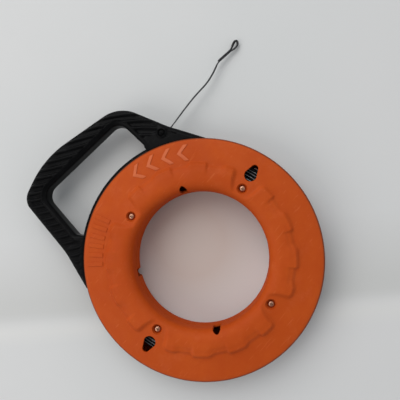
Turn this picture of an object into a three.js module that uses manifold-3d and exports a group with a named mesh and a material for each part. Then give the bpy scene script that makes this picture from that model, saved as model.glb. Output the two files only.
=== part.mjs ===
// Fish tape reel. A round two-shell case turns inside the ring of its handle, and a
// flat steel tape coiled in the case leaves through a guide in the handle's arm.
// Millimetres, +Z up. The reel lies on its rear shell, and +Y points to the handle.
import * as THREE from 'three';
import { mergeVertices } from 'three/addons/utils/BufferGeometryUtils.js';
import Module from 'manifold-3d';

const wasm = await Module();
wasm.setup();

// Case: two equal shells, each measured from the parting plane between them.
const CASE_RADIUS = 152.5;
const HALF_HEIGHT = 28;
const HOLE_RADIUS = 86;
const WALL = 3;
const PARTING_GAP = 0.15;
const CREST_INNER = 101;
const CREST_OUTER = 107;
const RIM_FACE = 12; // height of the flange's inner face above the parting plane
const LIP_RADIUS = 145.6; // the lips that the handle's ring runs on
const LIP_BOTTOM = 8;
const TURN_STEPS = 60;

// Scalloped edge of the grip band: four lobes in each quarter, between the screws.
const SCALLOP_RADIUS = 117.75;
const SCALLOP_DEPTH = 2.75;
const SCALLOP_PITCH = 26;

// Openings in each shell.
const DRUM_ANGLE = 7.3; // from +X to the first screw
const WINDOW_RADIUS = 124.5;
const WINDOW_LENGTH = 22;
const WINDOW_WIDE = 7.6;
const WINDOW_NARROW = 4.4;
const SLOT_WIDTH = 10;
const SLOT_TOP = 26.5;
const SLOT_DEPTH = 15;

// Case screws and their nuts.
const SCREW_CIRCLE = 102;
const SCREW_RADIUS = 2;
const SCREW_HOLE = 2.4;
const HEAD_RADIUS = 3.8;
const HEAD_HEIGHT = 2.6;
const HEAD_SEAT = 18.5;
const COUNTERBORE = 5.25;
const PAD_RADIUS = 8;
const PAD_HEIGHT = 24.8;
const BOSS_RADIUS = 6;
const NUT_RADIUS = 4.04;
const NUT_HEIGHT = 3.2;
const NUT_SEAT = 18.5;

// Handle and its ring.
const RING_INNER = 147;
const RING_OUTER = 152.2;
const RING_HALF = 11.6;
const HANDLE_HALF = 13;
const HANDLE_EDGE = 6;
const HANDLE_CLEARANCE = 153.5;
const BASE_RADIUS = 158; // the ring is thicker between the handle's feet

// Tape, its coil and the route out of the handle.
const TAPE_THICK = 1.5;
const TAPE_WIDE = 3.2;
const COIL_INNER = 110;
const COIL_OUTER = 133;
const COIL_HALF = 6;
const MOUTH = new THREE.Vector3(107, 138.7, -5);
const PULL = new THREE.Vector3(1, 0.05, -0.132).normalize();
const CHANNEL_WIDE = 9.4;
const CHANNEL_HIGH = 5.4;
const CHANNEL_REACH = 60;
const GUIDE = { back: -23, front: -1.2, half: 6.7, low: -5, high: 8 };
const FIT = 0.3;
const GUIDE_SCREW = { x: 93.8, y: 140.1, head: 3.2, shank: 1.3, hole: 1.7, depth: 9 };

const material = (color, roughness, metalness) =>
  new THREE.MeshStandardMaterial({ color, roughness, metalness });
const ORANGE = material(0xc95a28, 0.55, 0);
const BLACK = material(0x18191b, 0.5, 0);
const STEEL = material(0x8d8f92, 0.35, 1);
const TAPE_STEEL = material(0x4a4b4e, 0.4, 1);

const radians = THREE.MathUtils.degToRad;

// --- solids ---------------------------------------------------------------------

function solidOf(geometry) {
  const bare = geometry.clone();
  bare.deleteAttribute('normal');
  bare.deleteAttribute('uv');
  const merged = mergeVertices(bare, 1e-4);
  return new wasm.Manifold(new wasm.Mesh({
    numProp: 3,
    vertProperties: Float32Array.from(merged.attributes.position.array),
    triVerts: Uint32Array.from(merged.index.array),
  }));
}

function geometryOf(solid) {
  const mesh = solid.getMesh();
  const geometry = new THREE.BufferGeometry();
  geometry.setAttribute('position', new THREE.BufferAttribute(mesh.vertProperties, 3));
  geometry.setIndex(new THREE.BufferAttribute(mesh.triVerts, 1));
  return geometry;
}

function cylinder(radius, low, high, x = 0, y = 0, sides = 16) {
  const geometry = new THREE.CylinderGeometry(radius, radius, high - low, sides);
  geometry.rotateX(Math.PI / 2);
  geometry.translate(x, y, (low + high) / 2);
  return solidOf(geometry);
}

function block(low, high) {
  const geometry = new THREE.BoxGeometry(high[0] - low[0], high[1] - low[1], high[2] - low[2]);
  geometry.translate((low[0] + high[0]) / 2, (low[1] + high[1]) / 2, (low[2] + high[2]) / 2);
  return solidOf(geometry);
}

function extruded(shape, low, high, options = {}) {
  const geometry = new THREE.ExtrudeGeometry(shape, {
    depth: high - low, bevelEnabled: false, curveSegments: 6, ...options,
  });
  geometry.translate(0, 0, low);
  return solidOf(geometry);
}

// A ring around +Z whose closed section, a list of [radius, height], may change with
// the angle in degrees.
function turned(sectionAt, steps) {
  const positions = [];
  const index = [];
  const count = sectionAt(0).length;
  for (let step = 0; step < steps; step += 1) {
    const angle = (360 * step) / steps;
    for (const [radius, height] of sectionAt(angle)) {
      positions.push(radius * Math.cos(radians(angle)), radius * Math.sin(radians(angle)), height);
    }
  }
  for (let step = 0; step < steps; step += 1) {
    const here = step * count;
    const next = ((step + 1) % steps) * count;
    for (let i = 0; i < count; i += 1) {
      const j = (i + 1) % count;
      index.push(here + i, next + i, next + j, here + i, next + j, here + j);
    }
  }
  const outline = sectionAt(0).map(([radius, height]) => new THREE.Vector2(radius, height));
  if (THREE.ShapeUtils.isClockWise(outline)) {
    index.reverse();
  }
  const geometry = new THREE.BufferGeometry();
  geometry.setAttribute('position', new THREE.Float32BufferAttribute(positions, 3));
  geometry.setIndex(index);
  return solidOf(geometry);
}

// An outline through corners [x, y, radius], each rounded with its radius.
function rounded(corners) {
  const points = [];
  corners.forEach(([x, y, radius], i) => {
    const corner = new THREE.Vector2(x, y);
    const before = new THREE.Vector2(...corners.at(i - 1)).sub(corner).normalize();
    const after = new THREE.Vector2(...corners[(i + 1) % corners.length]).sub(corner).normalize();
    if (radius === 0) {
      points.push(corner);
      return;
    }
    const half = Math.acos(before.dot(after)) / 2;
    const middle = before.clone().add(after).normalize();
    const centre = corner.clone().addScaledVector(middle, radius / Math.sin(half));
    const turn = Math.PI - 2 * half;
    const steps = Math.max(2, Math.ceil(turn / radians(16)));
    const side = Math.sign(before.cross(after));
    for (let step = 0; step <= steps; step += 1) {
      const spoke = middle.clone().multiplyScalar(-radius);
      spoke.rotateAround(new THREE.Vector2(), side * turn * (0.5 - step / steps));
      points.push(centre.clone().add(spoke));
    }
  });
  return points;
}

// --- the case -------------------------------------------------------------------

function scallopEdge(angle) {
  const fromQuarter = THREE.MathUtils.euclideanModulo(angle, 90) - 45;
  const phase = (2 * Math.PI * (fromQuarter - SCALLOP_PITCH / 2)) / SCALLOP_PITCH;
  return SCALLOP_RADIUS + SCALLOP_DEPTH * Math.cos(phase);
}

// Half of the case's section, from the parting plane up over the crest to the flange.
function shellSection(angle) {
  const edge = scallopEdge(angle);
  return [
    [HOLE_RADIUS, PARTING_GAP],
    [HOLE_RADIUS, 15],
    [HOLE_RADIUS + 1.6, 20.5],
    [HOLE_RADIUS + 5.5, 25],
    [HOLE_RADIUS + 10.5, 27.5],
    [CREST_INNER, HALF_HEIGHT],
    [CREST_OUTER, HALF_HEIGHT],
    [edge - 5, 27],
    [edge - 1.5, 25.3],
    [edge + 1.5, 21.6],
    [125, 20.8],
    [146, 17.6],
    [150.5, 16],
    [CASE_RADIUS, 13.8],
    [CASE_RADIUS, RIM_FACE],
    [LIP_RADIUS, RIM_FACE],
    [LIP_RADIUS, LIP_BOTTOM],
    [LIP_RADIUS - WALL, LIP_BOTTOM],
    [LIP_RADIUS - WALL, 14.4],
    [125, 17.8],
    [edge - 0.5, 18.6],
    [edge - 4.5, 23.8],
    [CREST_OUTER, HALF_HEIGHT - WALL],
    [CREST_INNER, HALF_HEIGHT - WALL],
    [94.5, 22.8],
    [HOLE_RADIUS + WALL, 15],
    [HOLE_RADIUS + WALL, PARTING_GAP],
  ];
}

// A drop-shaped window, wide end towards the hole.
function windowCut() {
  const inner = WINDOW_RADIUS - WINDOW_LENGTH / 2 + WINDOW_WIDE;
  const outer = WINDOW_RADIUS + WINDOW_LENGTH / 2 - WINDOW_NARROW;
  const shape = new THREE.Shape();
  shape.absarc(inner, 0, WINDOW_WIDE, radians(80), radians(280), false);
  shape.absarc(outer, 0, WINDOW_NARROW, radians(-80), radians(80), false);
  return extruded(shape, 10, 40);
}

function slotCut() {
  const half = SLOT_WIDTH / 2;
  const shape = new THREE.Shape();
  shape.moveTo(-half, -1);
  shape.lineTo(half, -1);
  shape.absarc(0, SLOT_TOP - half, half, 0, Math.PI, false);
  const geometry = new THREE.ExtrudeGeometry(shape, {
    depth: SLOT_DEPTH, bevelEnabled: false, curveSegments: 6,
  });
  geometry.rotateX(Math.PI / 2);
  geometry.rotateZ(Math.PI / 2);
  geometry.translate(HOLE_RADIUS - 4, 0, 0);
  return solidOf(geometry);
}

function quarterTurns(solid) {
  return [0, 90, 180, 270].map((angle) => solid.rotate([0, 0, angle]));
}

function caseShell(recess) {
  let shell = turned(shellSection, TURN_STEPS);
  const boss = cylinder(BOSS_RADIUS, PARTING_GAP, HEAD_SEAT + 2, SCREW_CIRCLE)
    .add(cylinder(PAD_RADIUS + 1.5, HEAD_SEAT - 3, PAD_HEIGHT + 0.6, SCREW_CIRCLE));
  const pad = cylinder(PAD_RADIUS, PAD_HEIGHT, 40, SCREW_CIRCLE);
  const hole = cylinder(SCREW_HOLE, -5, 40, SCREW_CIRCLE, 0, 12);
  for (const piece of quarterTurns(boss)) {
    shell = shell.add(piece);
  }
  for (const piece of quarterTurns(pad.add(recess).add(hole))) {
    shell = shell.subtract(piece);
  }
  for (const turn of [0, 180]) {
    shell = shell.subtract(slotCut().rotate([0, 0, turn + 45]));
    shell = shell.subtract(windowCut().rotate([0, 0, turn]));
  }
  return shell;
}

const headRecess = cylinder(COUNTERBORE, HEAD_SEAT, 40, SCREW_CIRCLE);
const nutRecess = cylinder(NUT_RADIUS + FIT, NUT_SEAT, 40, SCREW_CIRCLE, 0, 6);

function caseScrew() {
  const seat = HEAD_SEAT + FIT;
  const tip = -NUT_SEAT - NUT_HEIGHT - 1;
  const cross = block([-2, -0.5, seat + 1.4], [2, 0.5, seat + 5])
    .add(block([-0.5, -2, seat + 1.4], [0.5, 2, seat + 5]));
  return cylinder(SCREW_RADIUS, tip, seat + 0.5, 0, 0, 12)
    .add(cylinder(HEAD_RADIUS, seat, seat + HEAD_HEIGHT, 0, 0, 16))
    .subtract(cross);
}

function caseNut() {
  return cylinder(NUT_RADIUS, -NUT_SEAT - FIT - NUT_HEIGHT, -NUT_SEAT - FIT, 0, 0, 6)
    .subtract(cylinder(SCREW_HOLE, -40, 0, 0, 0, 12));
}

// --- tape -----------------------------------------------------------------------

const along = (s, side = 0, up = 0) => new THREE.Vector3(s, side, up);

// The tape stands on edge. Its free end runs along +X of its own group, with the small
// bends that the end of a used tape has.
const LEADER_ROUTE = [
  along(-17), along(0), along(14, 0.1), along(28, 0.2), along(42, 0.1), along(54, -0.4),
  along(64, -1.3), along(72, -2.1), along(80, -2.3), along(87, -1.8), along(94, -0.9),
  along(101, 0.5), along(108, 2), along(113, 1.4), along(119, 0.3),
];
const EYE_TURN = -10;
const EYE_NECK = 15;
const EYE_LOOP = 16;
const EYE_HALF = 4.7;
const EYE_HOLE = 2.2;

// A flat strip on edge along a route, as one closed body.
function strip(route, thick, wide) {
  const positions = [];
  const index = [];
  route.forEach((point, i) => {
    const ahead = route[Math.min(i + 1, route.length - 1)];
    const behind = route[Math.max(i - 1, 0)];
    const across = new THREE.Vector3(0, 0, 1).cross(ahead.clone().sub(behind)).normalize();
    for (const [side, up] of [[-1, -1], [1, -1], [1, 1], [-1, 1]]) {
      const corner = point.clone().addScaledVector(across, (side * thick) / 2);
      positions.push(corner.x, corner.y, corner.z + (up * wide) / 2);
    }
  });
  for (let ring = 0; ring < (route.length - 1) * 4; ring += 4) {
    for (let side = 0; side < 4; side += 1) {
      const a = ring + side;
      const b = ring + ((side + 1) % 4);
      index.push(a, b, b + 4, a, b + 4, a + 4);
    }
  }
  const last = (route.length - 1) * 4;
  index.push(0, 2, 1, 0, 3, 2, last, last + 1, last + 2, last, last + 2, last + 3);
  const geometry = new THREE.BufferGeometry();
  geometry.setAttribute('position', new THREE.Float32BufferAttribute(positions, 3));
  geometry.setIndex(index);
  return solidOf(geometry);
}

// The tape's end folded back on itself into a small eye.
function tapeEye() {
  const neck = TAPE_THICK + 0.3;
  const centre = EYE_NECK + EYE_LOOP - EYE_HALF;
  const shape = new THREE.Shape();
  shape.moveTo(0, neck);
  shape.lineTo(0, -neck);
  shape.lineTo(EYE_NECK, -neck);
  shape.absarc(centre, 0, EYE_HALF, radians(-110), radians(110), false);
  shape.lineTo(EYE_NECK, neck);
  const hole = new THREE.Path();
  hole.moveTo(EYE_NECK + 4, 0);
  hole.absarc(centre, 0, EYE_HOLE, radians(-120), radians(120), false);
  shape.holes.push(hole);
  return extruded(shape, -TAPE_WIDE / 2, TAPE_WIDE / 2);
}

// --- handle ---------------------------------------------------------------------

// The handle's outer outline, from the foot at +X round the grip to the foot at -X.
const HANDLE_OUTLINE = rounded([
  [123.5, 92, 0], [105.5, 140, 90], [86.8, 208.6, 46], [-30, 246.5, 130],
  [-91.3, 232.3, 21], [-107.5, 143, 90], [-125.5, 92, 0], [0, 60, 0],
]);
// The gap for the hand. Its lowest edge follows the ring, which stands a little into it.
const GAP_LOW = [112, 105, 98, 91, 84, 77, 70].map((angle) => [
  (BASE_RADIUS - 3) * Math.cos(radians(angle)), (BASE_RADIUS - 3) * Math.sin(radians(angle)), 0,
]);
const HAND_GAP = rounded([
  [66.6, 145, 6], [70.8, 195.5, 16], [-68.5, 216.9, 16], [-81.6, 138.5, 8], ...GAP_LOW,
]);

function ringSection() {
  return [
    [RING_INNER, -RING_HALF], [RING_OUTER, -RING_HALF],
    [RING_OUTER, RING_HALF], [RING_INNER, RING_HALF],
  ];
}

// The thicker part of the ring, inside the handle's outline.
function ringBase() {
  return extruded(new THREE.Shape(HANDLE_OUTLINE), -RING_HALF, RING_HALF)
    .intersect(cylinder(BASE_RADIUS, -40, 40, 0, 0, 96))
    .subtract(cylinder(RING_INNER + 1, -40, 40, 0, 0, 96));
}

// Moves a solid made along +X so that it runs along the tape's way out.
function alongPull(solid) {
  const turn = new THREE.Quaternion().setFromUnitVectors(new THREE.Vector3(1, 0, 0), PULL);
  const matrix = new THREE.Matrix4().compose(MOUTH, turn, new THREE.Vector3(1, 1, 1));
  return solid.transform(matrix.toArray());
}

function handleBody() {
  const shape = new THREE.Shape(HANDLE_OUTLINE);
  shape.holes.push(new THREE.Path(HAND_GAP));
  const half = CHANNEL_WIDE / 2;
  const tall = CHANNEL_HIGH / 2;
  const channel = block([-CHANNEL_REACH, -half, -tall], [10, half, tall]);
  const pocket = block(
    [GUIDE.back - FIT, -GUIDE.half - FIT, GUIDE.low - FIT],
    [20, GUIDE.half + FIT, GUIDE.high + FIT],
  );
  const { x, y, head, hole } = GUIDE_SCREW;
  return extruded(shape, HANDLE_EDGE - HANDLE_HALF, HANDLE_HALF - HANDLE_EDGE, {
    bevelEnabled: true, bevelThickness: HANDLE_EDGE, bevelSize: HANDLE_EDGE,
    bevelOffset: -HANDLE_EDGE, bevelSegments: 3,
  })
    .subtract(cylinder(HANDLE_CLEARANCE, -40, 40, 0, 0, 96))
    .add(ringBase())
    .add(turned(ringSection, 96))
    .subtract(alongPull(channel.add(pocket)))
    .subtract(cylinder(head + FIT, HANDLE_HALF - 3, 40, x, y))
    .subtract(cylinder(hole, 0, 40, x, y, 12));
}

function guideBlock() {
  const half = CHANNEL_WIDE / 2;
  const tall = CHANNEL_HIGH / 2;
  const { x, y, hole } = GUIDE_SCREW;
  return alongPull(
    block([GUIDE.back, -GUIDE.half, GUIDE.low], [GUIDE.front, GUIDE.half, GUIDE.high])
      .subtract(block([-60, -half, -tall], [20, half, tall])),
  ).subtract(cylinder(hole, 0, 40, x, y, 12));
}

function guideScrew() {
  const { head, shank, depth } = GUIDE_SCREW;
  return cylinder(shank, -depth, 0.5, 0, 0, 12)
    .add(cylinder(head, 0, 1.9, 0, 0, 16))
    .subtract(block([-1.6, -0.4, 1], [1.6, 0.4, 4]).add(block([-0.4, -1.6, 1], [0.4, 1.6, 4])));
}

// --- inner end of the tape --------------------------------------------------------

const ANCHOR_ANGLE = 20;
const ANCHOR_RADIUS = 98;

// A folded steel clip on a post of the rear shell. The tape's inner end is bent round it.
function anchorClip() {
  return block([-4.5, -8, -9], [4.5, 8, -7.5])
    .add(block([3, -8, -9], [4.5, 8, 5]))
    .subtract(cylinder(1.9, -20, 20, -0.5, 0, 12));
}

function anchorPost() {
  return cylinder(4, -26, -9 - FIT, -0.5, 0, 16).subtract(cylinder(1.5, -18, 0, -0.5, 0, 12));
}

function anchorScrew() {
  return cylinder(1.2, -17, -6.8, -0.5, 0, 12).add(cylinder(2.8, -7.2, -5.4, -0.5, 0, 16));
}

// --- assembly -------------------------------------------------------------------

const reel = new THREE.Group();
const drum = new THREE.Group();
const exit = new THREE.Group();

function place(group, name, solid, look, position = [0, 0, 0], turn = [0, 0, 0]) {
  const mesh = new THREE.Mesh(geometryOf(solid), look);
  mesh.name = name;
  mesh.position.set(...position);
  mesh.rotation.set(...turn);
  group.add(mesh);
}

drum.rotation.z = radians(DRUM_ANGLE);
const post = anchorPost()
  .translate([ANCHOR_RADIUS, 0, 0])
  .rotate([0, 0, ANCHOR_ANGLE]);
// The rear shell is the same moulding as the front one, turned over, with nut pockets.
const rear = caseShell(nutRecess).rotate([180, 0, 0]).add(post);
place(drum, 'front_case', caseShell(headRecess), ORANGE);
place(drum, 'rear_case', rear, ORANGE);
[0, 90, 180, 270].forEach((angle, i) => {
  const at = [SCREW_CIRCLE * Math.cos(radians(angle)), SCREW_CIRCLE * Math.sin(radians(angle)), 0];
  place(drum, `case_screw_${i + 1}`, caseScrew(), STEEL, at);
  place(drum, `case_nut_${i + 1}`, caseNut(), STEEL, at, [0, 0, radians(angle)]);
});
const coilSection = () => [
  [COIL_INNER, -COIL_HALF], [COIL_OUTER, -COIL_HALF],
  [COIL_OUTER, COIL_HALF], [COIL_INNER, COIL_HALF],
];
place(drum, 'tape_coil', turned(coilSection, TURN_STEPS), TAPE_STEEL);
const anchorTurn = [0, 0, radians(ANCHOR_ANGLE)];
const anchorPlace = [
  ANCHOR_RADIUS * Math.cos(radians(ANCHOR_ANGLE)), ANCHOR_RADIUS * Math.sin(radians(ANCHOR_ANGLE)), 0,
];
place(drum, 'tape_anchor', anchorClip(), STEEL, anchorPlace, anchorTurn);
place(drum, 'anchor_screw', anchorScrew(), STEEL, anchorPlace, anchorTurn);

// The tape's inner end: from the coil's inside back to the clip, hooked over it.
const tailRoute = [
  along(103.4, 33.6), along(104.4, 24), along(104.2, 16), along(103.7, 8), along(103.6, -6),
];
place(drum, 'tape_tail', strip(tailRoute, TAPE_THICK, TAPE_WIDE), TAPE_STEEL, [0, 0, 0], anchorTurn);

place(reel, 'handle', handleBody(), BLACK);
place(reel, 'tape_guide', guideBlock(), BLACK);
place(reel, 'guide_screw', guideScrew(), STEEL, [GUIDE_SCREW.x, GUIDE_SCREW.y, HANDLE_HALF - 3 + FIT]);

exit.position.copy(MOUTH);
exit.quaternion.setFromUnitVectors(new THREE.Vector3(1, 0, 0), PULL);
place(exit, 'tape_leader', strip(LEADER_ROUTE, TAPE_THICK, TAPE_WIDE), TAPE_STEEL);
const end = LEADER_ROUTE.at(-1);
place(exit, 'tape_eye', tapeEye(), TAPE_STEEL, [end.x + FIT, end.y, end.z], [0, 0, radians(EYE_TURN)]);

reel.add(drum, exit);
const handleTop = Math.max(...HANDLE_OUTLINE.map((point) => point.y));
reel.position.set(0, (CASE_RADIUS - handleTop) / 2, HALF_HEIGHT);

export default reel;
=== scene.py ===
import math

import bpy
import numpy as np
from mathutils import Matrix, Vector


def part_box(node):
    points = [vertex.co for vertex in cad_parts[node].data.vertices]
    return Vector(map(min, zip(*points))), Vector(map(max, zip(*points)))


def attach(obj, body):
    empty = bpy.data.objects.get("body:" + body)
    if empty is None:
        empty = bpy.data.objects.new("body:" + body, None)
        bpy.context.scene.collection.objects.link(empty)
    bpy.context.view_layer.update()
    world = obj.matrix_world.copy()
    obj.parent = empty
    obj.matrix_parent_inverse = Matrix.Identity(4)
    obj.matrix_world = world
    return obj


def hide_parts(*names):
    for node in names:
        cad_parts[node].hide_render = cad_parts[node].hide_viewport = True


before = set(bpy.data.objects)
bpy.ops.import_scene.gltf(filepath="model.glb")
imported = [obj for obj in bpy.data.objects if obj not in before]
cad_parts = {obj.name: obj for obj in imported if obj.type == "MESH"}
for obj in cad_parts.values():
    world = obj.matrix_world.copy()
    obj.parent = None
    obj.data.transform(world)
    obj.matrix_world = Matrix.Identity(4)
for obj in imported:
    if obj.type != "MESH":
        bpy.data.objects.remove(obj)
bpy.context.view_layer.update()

# --- driving dimensions, mm --------------------------------------------------------

CASE_RADIUS = 152.45
HALF_HEIGHT = 28
HOLE_RADIUS = 86
WALL = 2.7
LIP_RADIUS = 145.6
DRUM_ANGLE = 7.3
SCREW_CIRCLE = 102
WINDOW_RADIUS = 124.5
WINDOW_LENGTH = 22
WINDOW_WIDE = 7.6
WINDOW_NARROW = 4.4
BAND_RADIUS = 119.6
FLANGE_HEIGHT = 20.8  # at FLANGE_RADIUS
FLANGE_RADIUS = 125
FLANGE_FALL = 0.1524  # mm down for each mm out
WALL_STRAIGHT = 15  # height of the hole's wall before it rounds over
WALL_ROUNDNESS = 2.25
DENT_PITCH = 22.3  # degrees between the dents in the grip band
DENT_REACH = 3.6  # how far in a dent takes the band's edge
DENT_DEPTH = 1.5
DENT_START, DENT_END = (-8.5, -3.0), (3.2, 4.9)  # degrees from the dent's middle
DENT_SCOOP = (100, 114)  # radii between which a dent gets its depth

RING_INNER = 147
RING_OUTER = 152.2
RING_HALF = 11.6
BASE_RADIUS = 158
BASE_START, BASE_END = (41, 45), (137, 141)  # degrees, where the ring thickens and thins
HANDLE_HALF = 13
HANDLE_CLEARANCE = 153.5

TAPE_THICK = 1.5
TAPE_WIDE = 3.2
MOUTH = Vector((107, 138.7, -5))
PULL = Vector((1, 0.05, -0.132)).normalized()
GUIDE_SCREW = (93.8, 140.1)
GUIDE_SEAT = HANDLE_HALF - 2.7

HEAD_RADIUS = 3.8
HEAD_HEIGHT = 2.6
HEAD_SEAT = 18.8
WELL_FLOOR = 18.5
SHANK_HOLE = 2.3
SCREW_TIP = -22.7
NUT_RADIUS = 4.04  # to its corners
NUT_LOW, NUT_HIGH = -22.0, -18.8
GUIDE_HEAD_RADIUS = 3.2
GUIDE_HEAD_HEIGHT = 1.9

low_front, high_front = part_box("front_case")
high_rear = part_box("rear_case")[1]
AXIS = (low_front + high_front) / 2
AXIS.z = (low_front.z + high_rear.z) / 2
PULL_TURN = Vector((1, 0, 0)).rotation_difference(PULL).to_matrix()


def to_row(points):
    """Millimetres in the case's frame to metres in the row frame."""
    return np.asarray(points, float) / 1000 + np.array(AXIS)


def turn_z(points, degrees):
    angle = math.radians(degrees)
    cosine, sine = math.cos(angle), math.sin(angle)
    x, y, z = np.asarray(points, float).T
    return np.column_stack([x * cosine - y * sine, x * sine + y * cosine, z])


def step(low, high, value):
    t = np.clip((np.asarray(value, float) - low) / (high - low), 0, 1)
    return t * t * (3 - 2 * t)


# --- camera ------------------------------------------------------------------------

def make_camera():
    place = Vector((83.47, -21.34, 575.86))
    look = Vector((-0.04625, 0.11941, -0.99177)).normalized()
    up = Vector((0.78387, 0.61976, 0.03807))
    right = look.cross(up).normalized()
    up = right.cross(look)
    data = bpy.data.cameras.new("camera")
    data.lens = 40.5
    data.sensor_width = 36
    data.clip_start = 0.01
    camera = bpy.data.objects.new("camera", data)
    turn = Matrix((right, up, -look)).transposed()
    camera.matrix_world = Matrix.Translation(Vector(to_row(place))) @ turn.to_4x4()
    bpy.context.scene.collection.objects.link(camera)
    bpy.context.scene.camera = camera


make_camera()


# --- meshes ------------------------------------------------------------------------

def mesh_piece(name, points, faces, body=None, looks=(), smooth=40):
    """A mesh object from points in the case's frame. smooth is the angle of a sharp edge."""
    mesh = bpy.data.meshes.new(name)
    mesh.from_pydata(to_row(points).tolist(), [], [list(map(int, face)) for face in faces])
    mesh.validate()
    piece = bpy.data.objects.new(name, mesh)
    bpy.context.scene.collection.objects.link(piece)
    finish_mesh(piece, looks, smooth)
    if body:
        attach(piece, body)
    return piece


def finish_mesh(piece, looks, smooth):
    mesh = piece.data
    mesh.materials.clear()
    for look in looks:
        mesh.materials.append(look)
    mesh.shade_smooth()
    mesh.set_sharp_from_angle(angle=math.radians(smooth))


def loop_faces(rings, count, closed=False, start=0):
    """Quads between rings of count points each, the rings' loops closed."""
    faces = []
    for ring in range(rings if closed else rings - 1):
        here = start + ring * count
        there = start + ((ring + 1) % rings) * count
        for i in range(count):
            j = (i + 1) % count
            faces.append((here + i, here + j, there + j, there + i))
    return faces


def swept(sections, closed=False, start=0):
    """Points and faces of a closed body through sections, an array (rings, count, 3)."""
    sections = np.asarray(sections, float)
    rings, count = sections.shape[:2]
    faces = loop_faces(rings, count, closed, start)
    if not closed:
        faces.append(tuple(range(start, start + count))[::-1])
        last = start + (rings - 1) * count
        faces.append(tuple(range(last, last + count)))
    return sections.reshape(-1, 3), faces


def signed_volume(points, faces):
    volume = 0.0
    for face in faces:
        a = points[face[0]]
        for i in range(1, len(face) - 1):
            volume += np.dot(a, np.cross(points[face[i]], points[face[i + 1]]))
    return volume


def body_of_sections(sections, closed=False):
    points, faces = swept(sections, closed)
    if signed_volume(points - points.mean(0), faces) < 0:
        faces = [face[::-1] for face in faces]
    return points, faces


def together(*bodies):
    """Several bodies as the points and faces of one mesh."""
    points, faces, start = [], [], 0
    for some, sides in bodies:
        points.append(np.asarray(some, float))
        faces += [tuple(i + start for i in side) for side in sides]
        start += len(some)
    return np.vstack(points), faces


def lathe(profile, sides, centre=(0, 0), turn=0.0):
    """A body turned about a line along z through centre, from a profile of (radius, z)
    that starts and ends on the line."""
    profile = [p for p in profile if p[0] > 0]
    angles = np.radians(turn) + 2 * np.pi * np.arange(sides) / sides
    rings = [
        np.column_stack([
            centre[0] + radius * np.cos(angles),
            centre[1] + radius * np.sin(angles),
            np.full(sides, float(z)),
        ])
        for radius, z in profile
    ]
    return body_of_sections(rings)


def boolean(piece, body, operation):
    """Join to a piece, or cut from it, a body given as points and faces."""
    tool = mesh_piece("tool", *body)
    modifier = piece.modifiers.new("cut", "BOOLEAN")
    modifier.operation = operation
    modifier.solver = "MANIFOLD"
    modifier.object = tool
    apply_modifiers(piece)
    bpy.data.objects.remove(tool)


def apply_modifiers(piece):
    graph = bpy.context.evaluated_depsgraph_get()
    mesh = bpy.data.meshes.new_from_object(piece.evaluated_get(graph))
    piece.modifiers.clear()
    piece.data = mesh


def softened(node, width, look, body, segments=2):
    """A copy of a small CAD node with rounded edges, in place of it."""
    piece = bpy.data.objects.new(node + "_fine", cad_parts[node].data.copy())
    bpy.context.scene.collection.objects.link(piece)
    weld = piece.modifiers.new("weld", "WELD")
    weld.merge_threshold = 1e-5
    bevel = piece.modifiers.new("bevel", "BEVEL")
    bevel.width = width / 1000
    bevel.segments = segments
    bevel.limit_method = "ANGLE"
    bevel.angle_limit = math.radians(35)
    apply_modifiers(piece)
    finish_mesh(piece, [look], 35)
    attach(piece, body)
    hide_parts(node)
    return piece


# --- materials ---------------------------------------------------------------------

# Linear colours.
ORANGE_DEEP, ORANGE_PALE = (0.422, 0.0565, 0.0020), (0.470, 0.0685, 0.0038)
ORANGE_MOTTLE = (0.41, 0.044, 0.001)
ORANGE_SCUFFED = (0.66, 0.17, 0.06)
ORANGE_DUSTY = (0.60, 0.15, 0.055)
# Painted shade: a dark orange for the case's outer rim.
ORANGE_PAINTED_RIM_SHADE = (0.10, 0.020, 0.004)
BLACK_DEEP, BLACK_PALE = (0.0018, 0.0018, 0.002), (0.0035, 0.0036, 0.0039)
BLACK_SCUFFED = (0.03, 0.03, 0.032)
STEEL_SCRATCHED = (0.36, 0.355, 0.35)
# The screw metal's brown-orange tint is a painted reflection of the orange case round it.
ZINC_PAINTED_ORANGE_DEEP, ZINC_PAINTED_ORANGE_PALE = (0.44, 0.22, 0.135), (0.60, 0.36, 0.26)
FLOOR_DEEP, FLOOR_PALE = (0.60, 0.61, 0.605), (0.63, 0.63, 0.625)
FLOOR_SHADED = (0.545, 0.548, 0.536)
# Painted highlight along the fold's ridge.
FLOOR_PAINTED_HIGHLIGHT = (0.648, 0.648, 0.634)
# Painted shade and painted orange bounce light for the floor inside the hole.
FLOOR_HOLE_PAINTED_SHADE_AND_BOUNCE = (0.53, 0.45, 0.41)

# Distances in metres, from no effect to the full one: from the axis on the case, and on the floor
# from the middle of the painted shade inside the hole.
# The painted shade along the rim comes in between the first pair of radii.
RIM_PAINTED_SHADE = (0.1498, 0.1516)
ROUGH_WALL = (0.0900, 0.0866)
OPEN_FLOOR = (0.115, 0.140)
HOLE_SHADE_AND_BOUNCE_SPREAD = (0.110, 0.045)

# A soft fold across the pale surface that the reel lies on, painted on the flat floor: a band of
# painted shade and a painted highlight along its ridge, with the distances in metres from the
# fold's line over which each comes and goes.
FOLD_ACROSS = (-0.7208, -0.6932, 0)
FOLD_PLACE = 0.0895 + FOLD_ACROSS[0] * AXIS.x + FOLD_ACROSS[1] * AXIS.y
FOLD_SHADE = ((-0.130, -0.045), (-0.008, -0.030))
FOLD_PAINTED_HIGHLIGHT = ((-0.022, -0.004), (0.016, -0.002))
# The middle of the painted patch on the floor inside the hole: painted shade under the case's
# walls, warmed by painted light from the orange wall.
HOLE_SHADE_AND_BOUNCE_PLACE = (AXIS.x + 0.003, AXIS.y + 0.025, AXIS.z - HALF_HEIGHT / 1000)


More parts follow.
